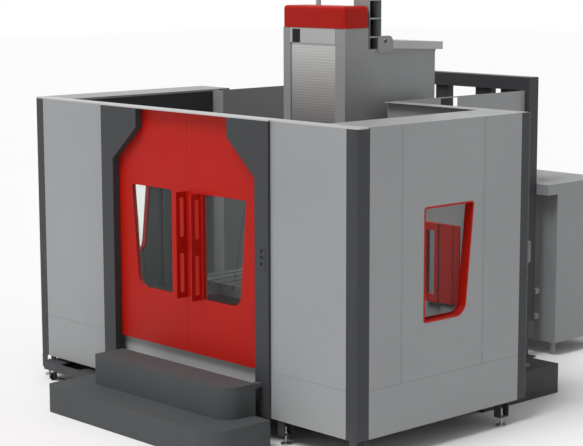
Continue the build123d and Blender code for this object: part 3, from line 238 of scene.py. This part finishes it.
def soft(name, colour, roughness, scale=160.0):
    """Rubber or moulded plastic with a fine grain."""
    g = Graph(name)
    base = linear(*colour)
    grain = g.noise(scale, 3.0, 0.6)
    broad = g.span(g.noise(9.0, 4.0, 0.6), 0.4, 0.7, 0.0, 0.35)
    tone = g.mix(broad, scaled(base, 0.9), scaled(base, 1.8))
    g.link(tone, g.shader.inputs["Base Color"])
    g.link(g.spread(grain, roughness - 0.05, roughness + 0.1), g.shader.inputs["Roughness"])
    g.link(g.bump(grain, 0.3, 0.0005), g.shader.inputs["Normal"])
    g.shader.inputs["Specular IOR Level"].default_value = 0.2
    return g.material


def glass(name, tint, shine, marks=0.01):
    """Safety pane: clear with a slight tint, a reflecting face and faint wipe marks."""
    g = Graph(name)
    clear = g.make("ShaderNodeBsdfTransparent")
    clear.inputs["Color"].default_value = linear(*tint)
    facing = g.make("ShaderNodeFresnel")
    facing.inputs["IOR"].default_value = 1.5
    mark = g.span(g.noise(6.0, 4.0, 0.6, (1.0, 1.0, 0.35)), 0.45, 0.75, 0.0, marks)
    total = g.make("ShaderNodeMath", operation="MULTIPLY_ADD")
    g.link(facing.outputs["Fac"], total.inputs[0])
    total.inputs[1].default_value = shine
    g.link(mark, total.inputs[2])
    base = linear(0.72, 0.76, 0.77)
    g.link(g.mix(mark, scaled(base, 0.9), base), g.shader.inputs["Base Color"])
    g.link(g.span(mark, 0.0, marks, 0.04, 0.12), g.shader.inputs["Roughness"])
    both = g.make("ShaderNodeMixShader")
    g.link(total.outputs["Value"], both.inputs["Fac"])
    g.link(clear.outputs["BSDF"], both.inputs[1])
    g.link(g.shader.outputs["BSDF"], both.inputs[2])
    g.link(both.outputs["Shader"], g.tree.nodes["Material Output"].inputs["Surface"])
    return g.material


materials = {
    "light_panel": paint("light panel paint", (0.585, 0.59, 0.595), 0.42, dust=0.1),
    "bright_panel": paint("bright panel paint", (0.72, 0.72, 0.72), 0.4),
    "dark_trim": paint("dark trim paint", (0.235, 0.24, 0.25), 0.45, dust=0.08),
    "red_paint": paint("red paint", (0.68, 0.10, 0.06), 0.4, shine=0.12),
    "step_paint": paint("step paint", (0.29, 0.30, 0.305), 0.6, grain=0.6),
    "pane": glass("window pane", (0.98, 0.985, 0.98), 0.06),
    "casting": cast("painted casting", (0.45, 0.455, 0.46)),
    "ground_steel": metal("ground steel", (0.62, 0.62, 0.62), 0.33, (1.0, 14.0, 14.0)),
    # Slat colours are painted shade low down and painted highlight high up, between 2.1 m and 3.0 m
    "slat_metal": rolled("slat metal", (0.36, 0.36, 0.36), (0.85, 0.85, 0.84), 2.1, 3.0),
    "black_rubber": soft("black rubber", (0.09, 0.09, 0.09), 0.7),
    "black_plastic": soft("black plastic", (0.10, 0.10, 0.105), 0.45),
    "zinc": metal("zinc plate", (0.66, 0.66, 0.65), 0.4, (8.0, 8.0, 1.0)),
    "cabinet_paint": paint("cabinet paint", (0.56, 0.565, 0.57), 0.45, dust=0.1),
    "dark_red_paint": paint("dark red paint", (0.44, 0.03, 0.03), 0.42, shine=0.12),
}

for part in frame["record"]["subparts"]:
    piece = frame["nodes"][part["node"]]
    finish = materials[part["material_slot"]]
    if not piece.material_slots:
        piece.data.materials.append(finish)
    for place in piece.material_slots:
        place.material = finish


# Vertices closer than this, in metres, are one
WELD = 1e-6


def add(name, work, slot, body, smooth=False):
    """Piece made from a bmesh, with its finish, riding on a body."""
    bmesh.ops.remove_doubles(work, verts=work.verts, dist=WELD)
    bmesh.ops.recalc_face_normals(work, faces=work.faces)
    mesh = bpy.data.meshes.new(name)
    work.to_mesh(mesh)
    work.free()
    for face in mesh.polygons:
        face.use_smooth = smooth
    piece = bpy.data.objects.new(name, mesh)
    bpy.context.scene.collection.objects.link(piece)
    mesh.materials.append(materials[slot])
    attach(piece, body)
    return piece


# The helpers below take points and vectors of the row frame, and profiles and radii in millimetres


def prism(work, loop, along):
    """Solid between a flat loop of points and its copy moved by a vector."""
    low = [work.verts.new(p) for p in loop]
    high = [work.verts.new(p + along) for p in loop]
    count = len(loop)
    work.faces.new(low)
    work.faces.new(high)
    for i in range(count):
        j = (i + 1) % count
        work.faces.new((low[i], low[j], high[j], high[i]))


def band(work, outer, inner, along):
    """Solid between two loops with the same number of points, carried by a vector."""
    rings = [[work.verts.new(p + move) for p in loop]
             for move in (Vector((0, 0, 0)), along) for loop in (outer, inner)]
    outer_low, inner_low, outer_high, inner_high = rings
    count = len(outer)
    for i in range(count):
        j = (i + 1) % count
        work.faces.new((outer_low[i], outer_low[j], inner_low[j], inner_low[i]))
        work.faces.new((outer_high[i], outer_high[j], inner_high[j], inner_high[i]))
        work.faces.new((outer_low[i], outer_low[j], outer_high[j], outer_high[i]))
        work.faces.new((inner_low[i], inner_low[j], inner_high[j], inner_high[i]))


def turned(work, centre, axis, profile, sides):
    """Solid of revolution. Its profile of (distance along the axis, radius) starts and ends on the axis."""
    axis = Vector(axis).normalized()
    across = axis.orthogonal().normalized()
    beside = axis.cross(across)
    rings = []
    for along, radius in profile:
        along, radius = along / 1000, radius / 1000
        if radius == 0:
            rings.append([work.verts.new(centre + axis * along)])
            continue
        ring = []
        for i in range(sides):
            angle = 2 * math.pi * i / sides
            spoke = across * math.cos(angle) + beside * math.sin(angle)
            ring.append(work.verts.new(centre + axis * along + spoke * radius))
        rings.append(ring)
    for first, second in zip(rings, rings[1:]):
        for i in range(sides):
            j = (i + 1) % sides
            if len(first) == 1:
                work.faces.new((first[0], second[i], second[j]))
            elif len(second) == 1:
                work.faces.new((first[i], first[j], second[0]))
            else:
                work.faces.new((first[i], first[j], second[j], second[i]))


def rounded(points, radii, arc=6):
    """Corner points turned into a loop with an arc at each corner."""
    loop = []
    count = len(points)
    for i in range(count):
        here = Vector(points[i])
        before = (Vector(points[i - 1]) - here).normalized()
        after = (Vector(points[(i + 1) % count]) - here).normalized()
        half = before.angle(after) / 2
        reach = radii[i] / math.tan(half)
        middle = here + (before + after).normalized() * (radii[i] / math.sin(half))
        start = here + before * reach - middle
        end = here + after * reach - middle
        for k in range(arc + 1):
            turn = start.slerp(end, k / arc)
            loop.append(middle + turn)
    return loop


def inset(points, distance):
    """Corner points of a flat convex figure moved inwards by the same distance on every side."""
    centre = sum((Vector(p) for p in points), Vector((0, 0))) / len(points)
    lines = []
    count = len(points)
    for i in range(count):
        a, b = Vector(points[i]), Vector(points[(i + 1) % count])
        along = (b - a).normalized()
        normal = Vector((-along.y, along.x))
        if normal.dot(centre - a) < 0:
            normal = -normal
        lines.append((a + normal * distance, along))
    corners = []
    for i in range(count):
        (p, d), (q, e) = lines[i - 1], lines[i]
        cross = d.x * e.y - d.y * e.x
        t = ((q - p).x * e.y - (q - p).y * e.x) / cross
        corners.append(p + d * t)
    return corners


def tube(work, path, radius, ridge, sides=12):
    """Closed tube along a path, with a ridge on every second ring."""
    rings = []
    for i, point in enumerate(path):
        before = path[max(i - 1, 0)]
        after = path[min(i + 1, len(path) - 1)]
        along = (after - before).normalized()
        across = along.cross(Vector((0, 1, 0))).normalized()
        beside = along.cross(across)
        size = (radius + (ridge if i % 2 else 0.0)) / 1000
        rings.append([work.verts.new(point + (across * math.cos(a) + beside * math.sin(a)) * size)
                      for a in (2 * math.pi * k / sides for k in range(sides))])
    for first, second in zip(rings, rings[1:]):
        for i in range(sides):
            j = (i + 1) % sides
            work.faces.new((first[i], first[j], second[j], second[i]))
    work.faces.new(rings[0])
    work.faces.new(rings[-1])


# Slatted curtain, in the box of the plain one that it stands for
SLATS = 32
RIBS = 2
RIB_POINTS = 6
# The line between two ribs lies this far behind the curtain's front, and the ribs rise this far from it
RIB_LINE = 2.2
RIB_RISE = 0.9


def slat_section(front, back, low, pitch):
    """Outline of a slat in (y, z): shallow rolled ribs at the front and a flat back."""
    line = front + RIB_LINE
    points = []
    for k in range(RIBS):
        for i in range(RIB_POINTS):
            share = i / RIB_POINTS
            rise = RIB_RISE * math.sin(math.pi * share)
            points.append((line - rise, low + (k + share) * pitch / RIBS))
    return points + [(line, low + pitch), (back, low + pitch), (back, low)]


low, high = drawn_box("slat_curtain")
height = high.z - low.z
pitch = height / SLATS
work = bmesh.new()
for k in range(SLATS):
    outline = slat_section(low.y, high.y, low.z + k * pitch, pitch)
    prism(work, [at(low.x, y, z) for y, z in outline], shift(high.x - low.x, 0, 0))
curtain = add("curtain", work, "slat_metal", "column")
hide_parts("slat_curtain")
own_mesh(curtain)

# Rubber profiles around the door windows, on the front of the panes
WINDOW_INNER = 200.0
WINDOW_OUTER_LOW = 638.0
WINDOW_OUTER_TOP = 713.0
WINDOW_LOW = 1000.0
WINDOW_TOP = 1845.0
WINDOW_RADII = [12.0, 100.0, 12.0, 12.0]
GASKET_WIDTH = 5.0
GASKET_DEPTH = 2.5


def door_window(seam, side):
    """Corners of a door window in (x, z), with the seam between the doors at x = seam."""
    inner = seam + side * WINDOW_INNER
    return [(inner, WINDOW_LOW), (seam + side * WINDOW_OUTER_LOW, WINDOW_LOW),
            (seam + side * WINDOW_OUTER_TOP, WINDOW_TOP), (inner, WINDOW_TOP)]


seam = (drawn_box("left_door")[1].x + drawn_box("right_door")[0].x) / 2
for side, label in ((-1, "left"), (1, "right")):
    corners = door_window(seam, side)
    outer = rounded(corners, WINDOW_RADII)
    inner = rounded(inset(corners, GASKET_WIDTH), [radius - GASKET_WIDTH for radius in WINDOW_RADII])
    front = drawn_box(f"{label}_door_pane")[0].y - GASKET_DEPTH
    work = bmesh.new()
    band(work, [at(x, front, z) for x, z in outer], [at(x, front, z) for x, z in inner],
         shift(0, GASKET_DEPTH, 0))
    add(f"{label}_door_gasket", work, "black_rubber", f"{label}_door")

# Black sensor window in its opening in the plate over the slats
SENSOR_LEFT = -239.0
SENSOR_RIGHT = -141.0
SENSOR_LOW = 2981.0
SENSOR_TOP = 3098.0
SENSOR_FIT = 0.5
SENSOR_CORNER = 3.0
SENSOR_RECESS = 0.8
SENSOR_DEPTH = 2.2

corners = [(SENSOR_LEFT, SENSOR_LOW), (SENSOR_RIGHT, SENSOR_LOW),
           (SENSOR_RIGHT, SENSOR_TOP), (SENSOR_LEFT, SENSOR_TOP)]
outline = rounded(inset(corners, SENSOR_FIT), [SENSOR_CORNER] * len(corners))
front = drawn_box("column_plates")[0].y + SENSOR_RECESS
work = bmesh.new()
prism(work, [at(x, front, z) for x, z in outline], shift(0, SENSOR_DEPTH, 0))
add("sensor_window", work, "black_plastic", "column")

# Ribbed conduits in the upright duct, each with its place in x and y and its radius
CONDUITS = ((240, 1772, 16), (282, 1765, 13), (322, 1775, 18),
            (258, 1830, 14), (305, 1835, 16), (350, 1822, 13))
CONDUIT_LOW_GAP = 3.0
CONDUIT_TOP_GAP = 8.0
CONDUIT_STEPS = 90
CONDUIT_WAVES = 1.3
CONDUIT_SWAY = 7.0
CONDUIT_RIDGE = 1.8

low, high = drawn_box("cable_duct")
start = low.z + CONDUIT_LOW_GAP
length = high.z - CONDUIT_TOP_GAP - start
work = bmesh.new()
for index, (x, y, radius) in enumerate(CONDUITS):
    path = []
    for k in range(CONDUIT_STEPS + 1):
        share = k / CONDUIT_STEPS
        sway = CONDUIT_SWAY * math.sin(2 * math.pi * share * CONDUIT_WAVES + index)
        path.append(at(x + sway, y + sway / 2, start + share * length))
    tube(work, path, radius, CONDUIT_RIDGE)
add("duct_conduits", work, "black_rubber", "column", smooth=True)

# Cap screws with a round socket in a circle around the spindle, their heads as tall as their radius
NOSE_SCREWS = 8
NOSE_CIRCLE = 108.0
SCREW_RADIUS = 9.0
SCREW_PROFILE = [(along * SCREW_RADIUS, across * SCREW_RADIUS) for along, across in
                 ((0, 0), (0, 1), (0.85, 1), (1, 0.85), (1, 0.5), (0.45, 0.5), (0.45, 0))]

low, high = drawn_box("spindle")
nose_front = drawn_box("head")[0].y
work = bmesh.new()
for k in range(NOSE_SCREWS):
    angle = 2 * math.pi * (k + 0.5) / NOSE_SCREWS
    x = (low.x + high.x) / 2 + NOSE_CIRCLE * math.cos(angle)
    z = (low.z + high.z) / 2 + NOSE_CIRCLE * math.sin(angle)
    turned(work, at(x, nose_front, z), (0, -1, 0), SCREW_PROFILE, sides=16)
add("nose_screws", work, "zinc", "head")

# Two cable glands on the front of the electrical cabinet
CABINET_GAP = 140.0
GLAND_X = 512.0
GLAND_HEIGHTS = (596.0, 355.0)
GLAND_PROFILE = [(0, 0), (0, 34), (12, 34), (12, 28), (34, 26), (36, 12), (20, 12), (20, 0)]

cabinet_front = drawn_box("rear_portal")[1].y + CABINET_GAP
work = bmesh.new()
for z in GLAND_HEIGHTS:
    turned(work, at(GLAND_X, cabinet_front, z), (0, -1, 0), GLAND_PROFILE, sides=18)
add("cabinet_glands", work, "bright_panel", "frame")

# Floor, in metres, just under the feet
FLOOR_REACH = 60.0
FLOOR_Z = -0.001

floor = bpy.data.meshes.new("floor")
corners = [(-1, -1), (1, -1), (1, 1), (-1, 1)]
floor.from_pydata([(FLOOR_REACH * x, FLOOR_REACH * y, FLOOR_Z) for x, y in corners], [], [(0, 1, 2, 3)])
ground = bpy.data.objects.new("floor", floor)
bpy.context.scene.collection.objects.link(ground)
plaster = Graph("studio floor")
tone = plaster.mix(plaster.noise(0.6, 3.0), linear(0.95, 0.95, 0.95), linear(0.96, 0.96, 0.96))
plaster.link(tone, plaster.shader.inputs["Base Color"])
plaster.shader.inputs["Roughness"].default_value = 0.8
plaster.shader.inputs["Specular IOR Level"].default_value = 0.1
floor.materials.append(plaster.material)

# Even light from all round, seen directly, in gloss and through panes as plain white, and a wide soft sun
SKY = 0.48
BACKDROP = 1.0
SUN = 2.15
SUN_FROM = Vector((0.0, -0.50, 0.86))
SUN_SPREAD = 28.0

world = bpy.data.worlds.new("studio")
bpy.context.scene.world = world
world.use_nodes = True
nodes, links = world.node_tree.nodes, world.node_tree.links
light = nodes["Background"]
backdrop = nodes.new("ShaderNodeBackground")
for background, strength in ((light, SKY), (backdrop, BACKDROP)):
    background.inputs["Color"].default_value = (1, 1, 1, 1)
    background.inputs["Strength"].default_value = strength
rays = nodes.new("ShaderNodeLightPath")
seen = rays.outputs["Is Camera Ray"]
for kind in ("Is Glossy Ray", "Is Transmission Ray"):
    larger = nodes.new("ShaderNodeMath")
    larger.operation = "MAXIMUM"
    links.new(seen, larger.inputs[0])
    links.new(rays.outputs[kind], larger.inputs[1])
    seen = larger.outputs["Value"]
either = nodes.new("ShaderNodeMixShader")
links.new(seen, either.inputs["Fac"])
links.new(light.outputs["Background"], either.inputs[1])
links.new(backdrop.outputs["Background"], either.inputs[2])
links.new(either.outputs["Shader"], nodes["World Output"].inputs["Surface"])

lamp = bpy.data.lights.new("sun", "SUN")
lamp.energy = SUN
lamp.angle = math.radians(SUN_SPREAD)
sun = bpy.data.objects.new("sun", lamp)
sun.rotation_mode = "QUATERNION"
sun.rotation_quaternion = SUN_FROM.normalized().to_track_quat("Z", "Y")
bpy.context.scene.collection.objects.link(sun)

# Camera solved from the photograph's edges, with its place and view limit in metres
YAW = math.radians(47.09)
PITCH = math.radians(8.734)
ROLL = math.radians(-0.132)
FOCAL_PIXELS = 1709.0121
PHOTO_WIDTH = 583
FILM_WIDTH = 36.0
CAMERA_PLACE = (10.511, -10.5395, 3.672)
VIEW_LIMIT = 200.0

forward = Vector((-math.sin(YAW) * math.cos(PITCH), math.cos(YAW) * math.cos(PITCH), -math.sin(PITCH)))
level = Vector((math.cos(YAW), math.sin(YAW), 0))
upward = level.cross(forward)
right = level * math.cos(ROLL) + upward * math.sin(ROLL)
top = right.cross(forward)
lens = bpy.data.cameras.new("camera")
lens.sensor_fit = "HORIZONTAL"
lens.sensor_width = FILM_WIDTH
lens.lens = FOCAL_PIXELS / PHOTO_WIDTH * FILM_WIDTH
lens.clip_end = VIEW_LIMIT
camera = bpy.data.objects.new("camera", lens)
bpy.context.scene.collection.objects.link(camera)
turn = Matrix((right, top, -forward)).transposed()
camera.matrix_world = Matrix.Translation(CAMERA_PLACE) @ turn.to_4x4()
bpy.context.scene.camera = camera
bpy.context.scene.view_settings.view_transform = "Standard"
